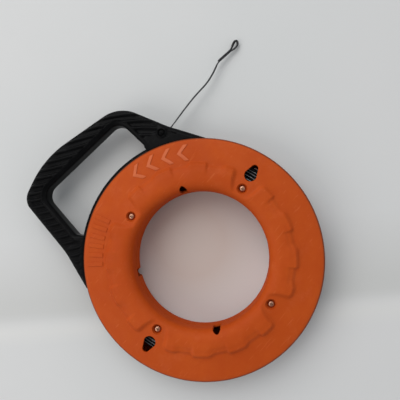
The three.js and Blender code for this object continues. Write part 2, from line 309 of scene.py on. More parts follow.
class Look:
    """A material with short helpers for its nodes."""

    def __init__(self, name):
        self.material = bpy.data.materials.new(name)
        self.material.use_nodes = True
        self.nodes = self.material.node_tree.nodes
        self.links = self.material.node_tree.links
        self.shader = self.nodes["Principled BSDF"]
        self.place = self.nodes.new("ShaderNodeTexCoord").outputs["Object"]

    def link(self, source, target):
        self.links.new(source, target)

    def mapped(self, scale, rotation=(0, 0, 0)):
        node = self.nodes.new("ShaderNodeMapping")
        node.inputs["Scale"].default_value = scale
        node.inputs["Rotation"].default_value = rotation
        self.link(self.place, node.inputs["Vector"])
        return node.outputs["Vector"]

    def noise(self, scale, detail=2, roughness=0.5, place=None):
        node = self.nodes.new("ShaderNodeTexNoise")
        node.inputs["Scale"].default_value = scale
        node.inputs["Detail"].default_value = detail
        node.inputs["Roughness"].default_value = roughness
        self.link(place or self.place, node.inputs["Vector"])
        return node.outputs["Fac"]

    def spread(self, source, low, high, to_low=0.0, to_high=1.0):
        node = self.nodes.new("ShaderNodeMapRange")
        for name, value in zip(
            ("From Min", "From Max", "To Min", "To Max"), (low, high, to_low, to_high)
        ):
            node.inputs[name].default_value = value
        self.link(source, node.inputs["Value"])
        return node.outputs["Result"]

    def mix(self, factor, a, b):
        """A colour between a and b, each a colour or a socket."""
        node = self.nodes.new("ShaderNodeMix")
        node.data_type = "RGBA"
        self.link(factor, node.inputs["Factor"])
        for socket, value in ((node.inputs[6], a), (node.inputs[7], b)):
            if isinstance(value, tuple):
                socket.default_value = (*value, 1)
            else:
                self.link(value, socket)
        return node.outputs[2]

    def math(self, operation, a, b):
        node = self.nodes.new("ShaderNodeMath")
        node.operation = operation
        for socket, value in zip(node.inputs, (a, b)):
            if isinstance(value, (int, float)):
                socket.default_value = value
            else:
                self.link(value, socket)
        return node.outputs[0]

    def vector_math(self, operation, source, value, output="Value"):
        node = self.nodes.new("ShaderNodeVectorMath")
        node.operation = operation
        node.inputs[1].default_value = value
        self.link(source, node.inputs[0])
        return node.outputs[output]

    def bump(self, height, distance, strength=1.0, after=None):
        node = self.nodes.new("ShaderNodeBump")
        node.inputs["Distance"].default_value = distance / 1000
        node.inputs["Strength"].default_value = strength
        self.link(height, node.inputs["Height"])
        if after:
            self.link(after, node.inputs["Normal"])
        return node.outputs["Normal"]

    def scratches(self, scale, stretch, angle, low, high):
        """Thin lines along one direction."""
        across = scale * stretch
        place = self.mapped((scale, across, across), (0, 0, math.radians(angle)))
        return self.spread(self.noise(1.0, 1, 0.4, place), low, high)

    def finish(self, colour, roughness, normal, metallic=0.0, specular=0.5):
        self.link(colour, self.shader.inputs["Base Color"])
        self.link(roughness, self.shader.inputs["Roughness"])
        self.link(normal, self.shader.inputs["Normal"])
        self.shader.inputs["Metallic"].default_value = metallic
        self.shader.inputs["Specular IOR Level"].default_value = specular
        return self.material


def orange_plastic(name, lighter, gloss):
    """The case's plastic. lighter, 0 to 1, and gloss are for places rubbed in use."""
    look = Look(name)
    broad = look.spread(look.noise(14, 3), 0.35, 0.65)
    mottle = look.spread(look.noise(90, 4, 0.6), 0.35, 0.7)
    colour = look.mix(broad, ORANGE_DEEP, ORANGE_PALE)
    colour = look.mix(look.math("MULTIPLY", mottle, 0.35), colour, ORANGE_MOTTLE)
    scuffs = look.math(
        "MAXIMUM",
        look.scratches(45, 11, 24, 0.70, 0.78),
        look.scratches(38, 12, -37, 0.71, 0.79),
    )
    dust = look.spread(look.noise(33, 5, 0.7), 0.56, 0.80)
    plan = look.vector_math("MULTIPLY", look.place, (1, 1, 0), "Vector")
    radius = look.vector_math("DISTANCE", plan, (AXIS.x, AXIS.y, 0))
    # Painted shade: the case darkens towards its outer rim.
    rim_painted_shade = look.spread(radius, *RIM_PAINTED_SHADE, 0.0, 0.85)
    wall = look.spread(radius, *ROUGH_WALL, 0.0, 0.30)
    worn = look.math("ADD", look.math("MULTIPLY", scuffs, 0.22), lighter)
    colour = look.mix(worn, colour, ORANGE_SCUFFED)
    colour = look.mix(look.math("MULTIPLY", dust, 0.20), colour, ORANGE_DUSTY)
    colour = look.mix(rim_painted_shade, colour, ORANGE_PAINTED_RIM_SHADE)
    roughness = look.spread(look.noise(60, 3), 0.3, 0.7, 0.60 - gloss, 0.72 - gloss)
    roughness = look.math("ADD", roughness, look.math("MULTIPLY", scuffs, 0.10))
    roughness = look.math("ADD", roughness, wall)
    grain = look.bump(look.noise(1500, 2, 0.6), 0.10, 0.55)
    waves = look.bump(look.noise(42, 2), 0.55, 0.35, grain)
    return look.finish(colour, roughness, waves, specular=0.19 + gloss)


def black_plastic():
    look = Look("black_plastic")
    patches = look.spread(look.noise(40, 4, 0.6), 0.35, 0.7)
    colour = look.mix(patches, BLACK_DEEP, BLACK_PALE)
    scuffs = look.math(
        "MAXIMUM",
        look.scratches(55, 10, 15, 0.70, 0.80),
        look.scratches(60, 9, -52, 0.71, 0.80),
    )
    colour = look.mix(look.math("MULTIPLY", scuffs, 0.25), colour, BLACK_SCUFFED)
    roughness = look.spread(look.noise(70, 3), 0.3, 0.7, 0.26, 0.36)
    grain = look.bump(look.noise(1100, 2, 0.6), 0.03, 0.35)
    return look.finish(colour, roughness, grain, specular=0.06)


def spring_steel(name, dark, light):
    """Tempered steel in patches between two greys."""
    look = Look(name)
    patches = look.spread(look.noise(120, 4, 0.65), 0.35, 0.7)
    colour = look.mix(patches, (dark, dark, 1.04 * dark), (light, light, 1.04 * light))
    lines = look.scratches(400, 7, 60, 0.55, 0.8)
    colour = look.mix(look.math("MULTIPLY", lines, 0.3), colour, STEEL_SCRATCHED)
    roughness = look.spread(look.noise(300, 3), 0.3, 0.7, 0.32, 0.5)
    grain = look.bump(look.noise(1500, 3, 0.6), 0.05, 0.4)
    return look.finish(colour, roughness, grain, metallic=1.0)


def zinc_steel_painted_reflection():
    look = Look("zinc_steel_painted_reflection")
    patches = look.spread(look.noise(500, 3, 0.6), 0.35, 0.7)
    # Brown-orange tint: a painted reflection of the orange case.
    colour = look.mix(patches, ZINC_PAINTED_ORANGE_DEEP, ZINC_PAINTED_ORANGE_PALE)
    roughness = look.spread(look.noise(800, 3), 0.3, 0.7, 0.28, 0.42)
    grain = look.bump(look.noise(2500, 2, 0.6), 0.03, 0.5)
    return look.finish(colour, roughness, grain, metallic=1.0)


def pale_floor():
    look = Look("pale_floor")
    broad = look.spread(look.noise(2.2, 2), 0.35, 0.65)
    colour = look.mix(broad, FLOOR_DEEP, FLOOR_PALE)
    away = look.vector_math("DISTANCE", look.place, HOLE_SHADE_AND_BOUNCE_PLACE)
    hole_shade_and_bounce = look.spread(away, *HOLE_SHADE_AND_BOUNCE_SPREAD)
    across = look.vector_math("DOT_PRODUCT", look.place, FOLD_ACROSS)
    fold = look.math("SUBTRACT", across, FOLD_PLACE)
    open_floor = look.spread(away, *OPEN_FLOOR)
    # The fold's painted shade and painted highlight, kept off the floor inside the hole.
    for (comes, goes), tint in ((FOLD_SHADE, FLOOR_SHADED), (FOLD_PAINTED_HIGHLIGHT, FLOOR_PAINTED_HIGHLIGHT)):
        band = look.math("MULTIPLY", look.spread(fold, *comes), look.spread(fold, *goes))
        colour = look.mix(look.math("MULTIPLY", band, open_floor), colour, tint)
    # Painted shade and painted orange bounce light on the floor inside the hole.
    colour = look.mix(hole_shade_and_bounce, colour, FLOOR_HOLE_PAINTED_SHADE_AND_BOUNCE)
    roughness = look.spread(look.noise(30, 3), 0.3, 0.7, 0.62, 0.72)
    grain = look.bump(look.noise(900, 2), 0.05, 0.25)
    return look.finish(colour, roughness, grain, specular=0.3)


ORANGE = orange_plastic("orange_plastic", 0.0, 0.0)
RUBBED_ORANGE = orange_plastic("rubbed_orange_plastic", 0.42, 0.1)
BLACK = black_plastic()
TAPE_STEEL = spring_steel("spring_steel", 0.04, 0.09)
# A brighter steel: partly the bare slit edge, partly a painted highlight on the coil's top turns.
EDGE_AND_HIGHLIGHT_STEEL = spring_steel("spring_steel_edge_and_painted_highlight", 0.24, 0.35)
ZINC_PAINTED_REFLECTION = zinc_steel_painted_reflection()


# --- the tape's free end and its eye -------------------------------------------------

LEADER_ROUTE = [
    (-17, 0), (0, 0), (14, 0.1), (28, 0.2), (42, 0.1), (54, -0.4), (64, -1.3), (72, -2.1),
    (80, -2.3), (87, -1.8), (94, -0.9), (101, 0.5), (108, 2), (113, 1.4), (119, 0.3),
]
LEADER_LEAN = [(0, 0), (12, 24), (40, 32), (102, 34), (114, 16)]  # degrees along the route
EYE_TURN = -10
EYE_ROUTE = [
    (-1.2, 0), (3, -0.2), (7, -0.3), (11, -0.3), (14, -0.4), (17.5, -0.9), (21, -1.1),
    (24.5, -0.6), (27.2, 0.8), (28.9, 2.8), (29.2, 4.5), (28, 5.8), (25.8, 5.8), (23, 4.9),
    (20, 3.6), (17.4, 2.3), (14, 1.3), (10, 1.25), (5, 1.35), (0, 1.5), (-4.5, 1.6), (-8.5, 1.5),
]
EYE_LEAN = [(0, 16), (14, 18), (20, 42), (42, 42), (48, 18), (70, 12)]


def smooth_route(points, spacing):
    """A Catmull-Rom curve through 2-D points, about spacing apart."""
    points = np.asarray(points, float)
    ends = np.vstack([2 * points[0] - points[1], points, 2 * points[-1] - points[-2]])
    out = []
    for i in range(1, len(ends) - 2):
        a, b, c, d = ends[i - 1:i + 3]
        count = max(2, int(round(np.linalg.norm(c - b) / spacing)))
        for t in np.arange(count) / count:
            out.append(
                0.5 * (2 * b + (c - a) * t + (2 * a - 5 * b + 4 * c - d) * t**2
                       + (3 * b - 3 * c + d - a) * t**3)
            )
    out.append(points[-1])
    return np.array(out)


def run_along(line):
    """How far along a line each of its points lies."""
    return np.concatenate([[0], np.cumsum(np.linalg.norm(np.diff(line, axis=0), axis=1))])


def tape_section(thick, wide, corner=0.35):
    """The tape's section with round edges, as (across, up)."""
    points = []
    for side, up, first in ((1, -1, -90), (1, 1, 0), (-1, 1, 90), (-1, -1, 180)):
        for angle in np.radians([first, first + 45, first + 90]):
            points.append((
                side * (thick / 2 - corner) + corner * math.cos(angle),
                up * (wide / 2 - corner) + corner * math.sin(angle),
            ))
    return np.array(points)


def tape_sweep(route, lean):
    """Sections of a tape along a flat route, on edge but for its lean in degrees."""
    route = np.asarray(route, float)
    along = np.gradient(route, axis=0)
    along /= np.linalg.norm(along, axis=1)[:, None]
    across = np.column_stack([-along[:, 1], along[:, 0]])
    section = tape_section(TAPE_THICK, TAPE_WIDE)
    rings = []
    for point, side, angle in zip(route, across, np.radians(lean)):
        sideways = section[:, 0] * math.cos(angle) - section[:, 1] * math.sin(angle)
        upward = section[:, 0] * math.sin(angle) + section[:, 1] * math.cos(angle)
        rings.append(np.column_stack([point + sideways[:, None] * side, upward]))
    return np.array(rings)


def from_exit(points):
    """Points in the frame of the tape's way out, whose x runs along the pull."""
    return np.asarray(points) @ np.array(PULL_TURN).T + np.array(MOUTH)


def make_leader():
    route = smooth_route(LEADER_ROUTE, 1.5)
    lean = np.interp(route[:, 0], *zip(*LEADER_LEAN))
    sections = from_exit(tape_sweep(route, lean).reshape(-1, 3)).reshape(len(route), -1, 3)
    points, faces = body_of_sections(sections)
    leader = mesh_piece("leader", points, faces, "tape", [TAPE_STEEL])
    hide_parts("tape_leader")

    angle = math.radians(EYE_TURN)
    turn = np.array([[math.cos(angle), -math.sin(angle)], [math.sin(angle), math.cos(angle)]])
    eye_route = smooth_route(EYE_ROUTE, 0.7) @ turn.T + np.array(LEADER_ROUTE[-1])
    lean = np.interp(run_along(eye_route), *zip(*EYE_LEAN))
    sections = tape_sweep(eye_route, lean)
    sections = from_exit(sections.reshape(-1, 3)).reshape(len(eye_route), -1, 3)
    points, faces = body_of_sections(sections)
    eye = mesh_piece("leader_eye", points, faces, "tape", [TAPE_STEEL])
    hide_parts("tape_eye")


make_leader()


# --- the case ------------------------------------------------------------------------

TURN_STEPS = 640
CHEVRONS = (46, 55, 64, 73)  # degrees round the case
PLAIN_BARS = range(107, 134, 5)
MARKS = [(angle, 4) for angle in CHEVRONS] + [(angle, 0) for angle in PLAIN_BARS]
MARK_LOW, MARK_HIGH, MARK_WIDE = 124, 145, 5.6
MARK_RISE = 0.75
BAND_CREST = (101, 107)  # the flat ring that the reel rests on
BAND_SLOPE = 1.2  # fall of the grip band from there to its edge
PAD_HALF = 10.7  # half the width of the flat round a screw, at PAD_RADIUS
PAD_RADIUS = 97
PAD_WIDENING, PAD_CURVE = 0.55, 0.010  # how that half grows with the radius
BAND_CORNER = 6  # the grip band's corners beside that flat
BAND_EDGE = (-2.6, 3.6)  # over which the band rises, from outside its edge to inside


def flange(radius):
    """Height of the flat outer face of a shell, carried on under the grip band."""
    return FLANGE_HEIGHT - FLANGE_FALL * (radius - FLANGE_RADIUS)


def inner_curve(radius, grow=0.0):
    """Height of the rounded wall between the hole and the crest."""
    wide = BAND_CREST[0] - HOLE_RADIUS - grow
    high = HALF_HEIGHT - WALL_STRAIGHT - grow
    t = np.clip((BAND_CREST[0] - radius) / wide, 0, 1)
    return WALL_STRAIGHT + high * (1 - t**WALL_ROUNDNESS) ** (1 / WALL_ROUNDNESS)


def dent(quarter):
    """A finger dent in the grip band, 0 to 1: it starts gently and ends in a step."""
    turn = np.mod(quarter - 45 + DENT_PITCH / 2, DENT_PITCH) - DENT_PITCH / 2
    return step(*DENT_START, turn) * (1 - step(*DENT_END, turn))


def shell_height(radius, angle):
    """Height of a shell's outside at r >= the hole's wall, over the drum's angle."""
    quarter = np.mod(angle, 90)
    dented = dent(quarter)
    edge = BAND_RADIUS - DENT_REACH * dented
    slope = BAND_SLOPE * step(BAND_CREST[1], edge - 3, radius)
    scoop = DENT_DEPTH * dented * step(*DENT_SCOOP, radius)
    crest = np.where(radius < BAND_CREST[0], inner_curve(radius), HALF_HEIGHT - slope)
    crest = crest - scoop
    off_screw = np.minimum(quarter, 90 - quarter)
    sideways = radius * np.radians(off_screw)
    beyond = radius - PAD_RADIUS
    half = PAD_HALF + PAD_WIDENING * beyond - PAD_CURVE * beyond**2
    from_edge = edge - radius
    from_flat = sideways - half
    nearest = np.minimum(from_edge, from_flat)
    corner = np.hypot(
        np.maximum(BAND_CORNER - from_edge, 0), np.maximum(BAND_CORNER - from_flat, 0)
    )
    inside = np.where(nearest < BAND_CORNER, BAND_CORNER - corner, nearest)
    band = step(*BAND_EDGE, inside)
    low = np.minimum(flange(radius), crest)
    return low + band * (crest - low)


def shell_sections():
    """The closed section of a shell at each step round the drum."""
    wall = [(86.7, 0.15), (86.2, 0.3)] + [(HOLE_RADIUS, z) for z in (0.8, 4, 8, 12)]
    curve = BAND_CREST[0] - HOLE_RADIUS
    rounding = [HOLE_RADIUS + curve * (1 - math.cos(math.radians(a))) for a in range(0, 90, 7)]
    rim = [
        (147.6, -0.1), (149.2, -0.4), (150.6, -1.05), (151.7, -2.0), (152.3, -3.1),
        (CASE_RADIUS, -3.9),
    ]
    radii = np.concatenate([
        rounding, np.arange(101, 112, 1.4), np.arange(112, 124.5, 0.75), np.arange(125, 147, 2.2),
    ])
    under = np.concatenate([
        np.arange(144, 125, -4), np.arange(124, 110, -1.5), [107, 103, 99, 95, 92, 90.5],
    ])
    lip = [
        (CASE_RADIUS, 12.6), (152.1, 12.1), (151.5, 12), (LIP_RADIUS + 0.3, 12),
        (LIP_RADIUS, 11.7), (LIP_RADIUS, 8), (LIP_RADIUS - WALL, 8),
    ]
    lip_top = (LIP_RADIUS - WALL, flange(LIP_RADIUS - WALL) - WALL)
    shaft = [(89, 14.5), (89, 8), (89, 0.15)]
    sections = []
    degrees = 360 * np.arange(TURN_STEPS) / TURN_STEPS
    for angle in degrees:
        heights = shell_height(radii, angle)
        top = list(zip(radii, heights))
        edge = [(r, flange(r) + drop) for r, drop in rim]
        covered = np.minimum(inner_curve(under, 3.0), shell_height(under, angle) - WALL)
        below = list(zip(under, covered))
        sections.append(wall + top + edge + lip + [lip_top] + below + shaft)
    profile = np.array(sections)
    angles = np.radians(degrees)[:, None]
    return np.stack([
        profile[:, :, 0] * np.cos(angles), profile[:, :, 0] * np.sin(angles), profile[:, :, 1],
    ], axis=2)


def quarters(body, angles=(0, 90, 180, 270)):
    return [(turn_z(body[0], angle), body[1]) for angle in angles]


def screw_boss():
    profile = [(6.4, 0.15), (6.4, 14), (8.6, 17.5), (8.6, 22.9)]
    return lathe(profile, 48, (SCREW_CIRCLE, 0))


def head_well():
    profile = [
        (SHANK_HOLE, -1), (SHANK_HOLE, WELL_FLOOR), (4.4, WELL_FLOOR), (4.8, 19.6),
        (6.3, 23.6), (7.2, 25), (7.5, 34),
    ]
    return lathe(profile, 56, (SCREW_CIRCLE, 0))


def nut_well():
    hole = lathe([(SHANK_HOLE, -1), (SHANK_HOLE, WELL_FLOOR + 0.5)], 32, (SCREW_CIRCLE, 0))
    hexagon = [(4.35, WELL_FLOOR), (4.35, 23.6), (5.4, 25.4), (5.4, 34)]
    return hole, lathe(hexagon, 6, (SCREW_CIRCLE, 0))


def window_outline(grow):
    inner = WINDOW_RADIUS - WINDOW_LENGTH / 2 + WINDOW_WIDE
    outer = WINDOW_RADIUS + WINDOW_LENGTH / 2 - WINDOW_NARROW
    points = []
    for centre, radius, angles in (
        (inner, WINDOW_WIDE, np.linspace(80, 280, 26)),
        (outer, WINDOW_NARROW, np.linspace(-80, 80, 18)),
    ):
        reach = radius + grow
        for angle in np.radians(angles):
            points.append((centre + reach * math.cos(angle), reach * math.sin(angle)))
    return np.array(points)


def window_cut():
    """The drop-shaped cut, its mouth rounded along the sloping outer face."""
    rings = []
    for above, grow in ((-12, 0), (-0.9, 0), (-0.35, 0.16), (0.0, 0.5), (0.4, 1.1), (8, 1.1)):
        outline = window_outline(grow)
        rings.append(np.column_stack([outline, flange(outline[:, 0]) + above]))
    return body_of_sections(rings)


def slot_cut():
    """A round-topped notch through the wall of the hole."""
    half, top = 5.0, 26.5
    profile = [(-half, -1), (half, -1), (half, top - half)]
    for angle in np.radians(range(15, 180, 15)):
        profile.append((half * math.cos(angle), top - half + half * math.sin(angle)))
    profile.append((-half, top - half))
    rings = []
    for radius, grow in ((80, 1.0), (84, 1.0), (90, 0.9), (97, 0.8)):
        rings.append([(radius, x * (0.72 + 0.28 * grow), z) for x, z in profile])
    return body_of_sections(rings)


def raised_mark(angle, lead):
    """A raised bar across the flange, its middle ahead of its ends by lead degrees."""
    middle, half = (MARK_LOW + MARK_HIGH) / 2, (MARK_HIGH - MARK_LOW) / 2
    rings = []
    for above, shrink in ((-1.2, 0), (MARK_RISE - 0.3, 0), (MARK_RISE, 0.35)):
        edge = []
        for side in (1, -1):
            for reach in (-1, -0.5, 0, 0.5, 1)[::side]:
                radius = middle + reach * (half - shrink)
                wide = math.degrees((MARK_WIDE / 2 - shrink) / radius)
                turn = math.radians(angle + lead * (1 - abs(reach)) + side * wide)
                place = (radius * math.cos(turn), radius * math.sin(turn))
                edge.append((*place, flange(radius) + above))
        rings.append(edge)
    return body_of_sections(rings)


def rub_chevrons(shell):
    """The tops of the chevrons are rubbed smooth."""
    first, last = min(CHEVRONS) - 20, max(CHEVRONS) + 10
    for face in shell.data.polygons:
        x, y, z = (face.center - AXIS) * 1000
        radius = math.hypot(x, y)
        on_top = MARK_LOW < radius < MARK_HIGH and z > flange(radius) + MARK_RISE - 0.25
        if on_top and first < math.degrees(math.atan2(y, x)) < last:
            face.material_index = 1


def make_shell(name, node, front):
    points, faces = swept(shell_sections(), closed=True)
    if signed_volume(points, faces) < 0:
        faces = [face[::-1] for face in faces]
    shell = mesh_piece(name, points, faces)
    bosses = together(*quarters(screw_boss()))
    boolean(shell, bosses, "UNION")
    marks = together(*[raised_mark(angle - DRUM_ANGLE, lead) for angle, lead in MARKS])
    boolean(shell, marks, "UNION")
    wells = [head_well()] if front else list(nut_well())
    for well in wells:
        boolean(shell, together(*quarters(well)), "DIFFERENCE")
    cuts = quarters(window_cut(), (0, 180)) + quarters(slot_cut(), (45, 225))
    boolean(shell, together(*cuts), "DIFFERENCE")
    finish_mesh(shell, [ORANGE, RUBBED_ORANGE], 38)
    rub_chevrons(shell)
    if not front:
        shell.data.transform(turn_over())
    shell.data.transform(spin(DRUM_ANGLE))
    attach(shell, "drum")
    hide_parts(node)
    return shell


def about_axis(turn):
    place = Matrix.Translation(AXIS)
    return place @ turn @ place.inverted()


def spin(degrees):
    return about_axis(Matrix.Rotation(math.radians(degrees), 4, "Z"))


def turn_over():
    return about_axis(Matrix.Rotation(math.pi, 4, "X"))


make_shell("front_shell", "front_case", True)
make_shell("rear_shell", "rear_case", False)


# --- handle --------------------------------------------------------------------------

HANDLE_CORNERS = [
    (123.5, 92, 0), (105.5, 140, 90), (86.8, 208.6, 46), (-30, 246.5, 130),
    (-91.3, 232.3, 21), (-107.5, 143, 90), (-125.5, 92, 0), (0, 60, 0),
]
GAP_ANGLES = (112, 105, 98, 91, 84, 77, 70)
GAP_CORNERS = [(66.6, 145, 6), (70.8, 195.5, 16), (-68.5, 216.9, 16), (-81.6, 138.5, 8)] + [
    (155 * math.cos(math.radians(a)), 155 * math.sin(math.radians(a)), 0) for a in GAP_ANGLES
]
OUTER_ROUND = 6.0  # width of the rounding along the outside
GAP_ROUND = 8.5
ROUND_FALL = 6  # how far down the rounding takes the edge
PANEL_FALL = 0.7  # of the plain surface beside the ribs
HEAD_CLEAR = (6.0, 7.5)  # radii round the handle screw between which the ribs start
RIB_ACROSS = np.array([0.6192, -0.77566])
RIB_UPWARD = np.array([0.78387, 0.61976])
RIB_PITCH = 9.4  # measured along RIB_UPWARD
RIB_SHARE = 0.55  # of the pitch that a ridge takes
RIB_DEPTH = 2.4
RIB_START = 0.145  # of a pitch
RIB_ROUNDNESS = 0.8
RIB_FROM_GAP = (5.5, 8)  # the ribs fade in over these distances
RIB_FROM_EDGE = (0.6, 3.0)
RIB_FROM_AXIS = (156, 160)
PANEL_RIGHT = (64, 70)  # where the plain surface beside the tape's way out begins
PANEL_TOP = (BASE_RADIUS + 12, BASE_RADIUS + 15)
FOOT_RIGHT = (96, 98)
POCKET_CORNERS = [(100.8, 139.6), (106.0, 122.6), (92.0, 132.2)]
POCKET_DEPTH = 1.6
# (place along RIB_ACROSS, slope of the ribs there in degrees)
RIB_SLOPES = [(-240, 8), (-190, 14), (-150, 16), (-110, 8), (-80, 2), (-55, -8), (-25, -18)]


def rounded(corners):
    """An outline through corners (x, y, radius), each rounded, and each corner's middle."""
    points, middles = [], []
    for i, (x, y, radius) in enumerate(corners):
        corner = np.array([x, y], float)
        before = np.array(corners[i - 1][:2]) - corner
        after = np.array(corners[(i + 1) % len(corners)][:2]) - corner
        before /= np.linalg.norm(before)
        after /= np.linalg.norm(after)
        if radius == 0:
            middles.append(len(points))
            points.append(corner)
            continue
        half = math.acos(np.dot(before, after)) / 2
        middle = (before + after) / np.linalg.norm(before + after)
        centre = corner + middle * radius / math.sin(half)
        turn = math.pi - 2 * half
        side = math.copysign(1, before[0] * after[1] - before[1] * after[0])
        count = 2 * max(3, math.ceil(turn / math.radians(8)))
        for k in range(count + 1):
            angle = side * turn * (0.5 - k / count)
            spoke = -radius * middle
            points.append(centre + np.array([
                spoke[0] * math.cos(angle) - spoke[1] * math.sin(angle),
                spoke[0] * math.sin(angle) + spoke[1] * math.cos(angle),
            ]))
        middles.append(len(points) - 1 - count // 2)
    return np.array(points), middles


def resampled(line, count):
    lengths = run_along(line)
    places = np.linspace(0, lengths[-1], count)
    return np.column_stack([np.interp(places, lengths, line[:, k]) for k in (0, 1)])


def distance_to(points, line):
    """Shortest distance from each point to a line through many points."""
    start, end = line[:-1], line[1:]
    along = end - start
    square = (along**2).sum(1)
    best = np.full(len(points), 1e9)
    for a, d, s in zip(start, along, square):
        if s == 0:
            continue
        t = np.clip(((points - a) @ d) / s, 0, 1)
        gap = np.linalg.norm(points - a - t[:, None] * d, axis=1)
        best = np.minimum(best, gap)
    return best


def arc(radius, first, last, count=40):
    angles = np.radians(np.linspace(first, last, count))
    return radius * np.column_stack([np.cos(angles), np.sin(angles)])


def angle_of(point):
    return math.degrees(math.atan2(point[1], point[0]))


def rib_wave(points):
    """Height of the diagonal ribs, 0 in the grooves to 1 on the ridges."""
    across = points @ RIB_ACROSS
    places = np.linspace(-260, 60, 321)
    slopes = np.tan(np.radians(np.interp(places, *zip(*RIB_SLOPES))))
    rise = np.concatenate([[0], np.cumsum((slopes[1:] + slopes[:-1]) / 2 * np.diff(places))])
    level = points @ RIB_UPWARD - np.interp(across, places, rise)
    phase = np.mod(level / RIB_PITCH + RIB_START, 1)
    ridge = np.sin(np.pi * np.minimum(phase / RIB_SHARE, 1))
    return np.maximum(ridge, 0) ** RIB_ROUNDNESS


def handle_grid():
    """Matched stations on the outer outline and on the gap and the ring's clearance."""
    outline, corner = rounded(HANDLE_CORNERS)
    gap, notch = rounded(GAP_CORNERS)
    right_foot, left_foot = angle_of(outline[0]) + 0.4, angle_of(outline[corner[6]]) - 0.4
    right_low, right_high, left_high, left_low = (notch[k] for k in range(4))
    inner_parts = [
        arc(HANDLE_CLEARANCE, right_foot, angle_of(gap[right_low])),
        gap[right_low:right_high + 1],
        gap[right_high:left_high + 1],
        gap[left_high:left_low + 1],
        arc(HANDLE_CLEARANCE, angle_of(gap[left_low]), left_foot),
    ]
    outer_parts = [
        outline[corner[0]:corner[1] + 1],
        outline[corner[1]:corner[2] + 1],
        outline[corner[2]:corner[4] + 1],
        outline[corner[4]:corner[5] + 1],
        outline[corner[5]:corner[6] + 1],
    ]
    inner, outer = [], []
    for near, far in zip(inner_parts, outer_parts):
        length = np.linalg.norm(np.diff(far, axis=0), axis=1).sum()
        count = max(8, int(length / 1.0))
        inner.append(resampled(near, count)[:-1])
        outer.append(resampled(far, count)[:-1])
    inner.append(inner_parts[-1][-1:])
    outer.append(outer_parts[-1][-1:])
    return np.vstack(outer), np.vstack(inner), outline, gap


def handle_height(points, outline, gap):
    """Half the handle's thickness over points of its plan."""
    outer_gap = distance_to(points, outline)
    inner_gap = distance_to(points, np.vstack([gap, gap[:1]]))
    fall_out = np.clip(1 - outer_gap / OUTER_ROUND, 0, 1)
    fall_in = np.clip(1 - inner_gap / GAP_ROUND, 0, 1)
    height = HANDLE_HALF - ROUND_FALL * (2 - np.sqrt(1 - fall_out**2) - np.sqrt(1 - fall_in**2))
    ribs = rib_wave(points)
    ringward = np.linalg.norm(points, axis=1)
    from_screw = np.linalg.norm(points - np.array(GUIDE_SCREW), axis=1)
    panel = step(*PANEL_RIGHT, points[:, 0]) * (1 - step(*PANEL_TOP, ringward))
    foot = step(*FOOT_RIGHT, points[:, 0])
    off_gap = step(*RIB_FROM_GAP, inner_gap)
    off_screw = step(*HEAD_CLEAR, from_screw)
    cover = off_gap * step(*RIB_FROM_EDGE, outer_gap) * step(*RIB_FROM_AXIS, ringward)
    cover = cover * (1 - np.maximum(panel, foot)) * off_screw
    height = height - RIB_DEPTH * cover * (1 - ribs)
    height = height - PANEL_FALL * (1 - cover) * off_gap * off_screw
    height = height - POCKET_DEPTH * step(-0.2, 1.0, inside_of(points, POCKET_CORNERS))
    return np.maximum(height, 2.0)


def inside_of(points, corners):
    """How deep each point lies inside a convex outline that runs clockwise."""
    depth = np.full(len(points), 1e9)
    for a, b in zip(corners, corners[1:] + corners[:1]):
        a, b = np.array(a, float), np.array(b, float)
        along = (b - a) / np.linalg.norm(b - a)
        depth = np.minimum(depth, (points - a) @ np.array([along[1], -along[0]]))
    return depth


def handle_body():
    outer, inner, outline, gap = handle_grid()
    near = np.array([0.1, 0.2, 0.5, 1.0, 1.9, 3.1, 4.5, 6.0])
    middle = 24
    stations = []
    for far, close in zip(outer, inner):
        wide = np.linalg.norm(close - far)
        edge = near * min(1, wide / 16)
        inside = np.linspace(edge[-1], wide - edge[-1], middle)[1:-1]
        places = np.concatenate([edge, inside, wide - edge[::-1]]) / wide
        stations.append(far + places[:, None] * (close - far))
    plan = np.array(stations)
    rings, count = plan.shape[:2]
    height = handle_height(plan.reshape(-1, 2), outline[:-1], gap).reshape(rings, count)
    top = np.dstack([plan, height])
    bottom = np.dstack([plan, -height])[:, ::-1]
    levels = (0.5, 0, -0.5)  # of the edge's height, down its wall
    inner_wall = np.stack([
        np.column_stack([plan[:, -1], height[:, -1] * share]) for share in levels
    ], axis=1)
    outer_wall = np.stack([
        np.column_stack([plan[:, 0], height[:, 0] * share]) for share in levels[::-1]
    ], axis=1)
    return body_of_sections(np.concatenate([top, inner_wall, bottom, outer_wall], axis=1))


def ring_body():
    """The ring that the case turns on, thicker between the handle's feet."""
    sections = []
    base = BASE_RADIUS - 1.2
    for angle in np.arange(0, 360, 0.5):
        grow = step(*BASE_START, angle) * (1 - step(*BASE_END, angle))
        far = RING_OUTER + (base - RING_OUTER) * grow
        soft = 0.5 + 2.0 * grow
        profile = [(RING_INNER, -RING_HALF + 0.5), (RING_INNER + 0.5, -RING_HALF)]
        corner = np.radians([0, 22.5, 45, 67.5, 90])
        middle, level = far - soft, RING_HALF - soft
        profile += [(middle + soft * math.sin(a), -level - soft * math.cos(a)) for a in corner]
        profile += [(middle + soft * math.cos(a), level + soft * math.sin(a)) for a in corner]
        profile += [(RING_INNER + 0.5, RING_HALF), (RING_INNER, RING_HALF - 0.5)]
        turn = math.radians(angle)
        sections.append([(r * math.cos(turn), r * math.sin(turn), z) for r, z in profile])
    return body_of_sections(sections, closed=True)


# Corners of two boxes in the frame of the tape's way out.
TAPE_PASSAGE = ((-60, -4.7, -2.7), (10, 4.7, 2.7))
GUIDE_POCKET = ((-23.3, -7, -5.3), (20, 7, 8.3))
GUIDE_WELL = [(1.7, 0), (1.7, 10), (3.5, 10), (3.5, 10.6), (5.3, 12.8), (5.3, 30)]


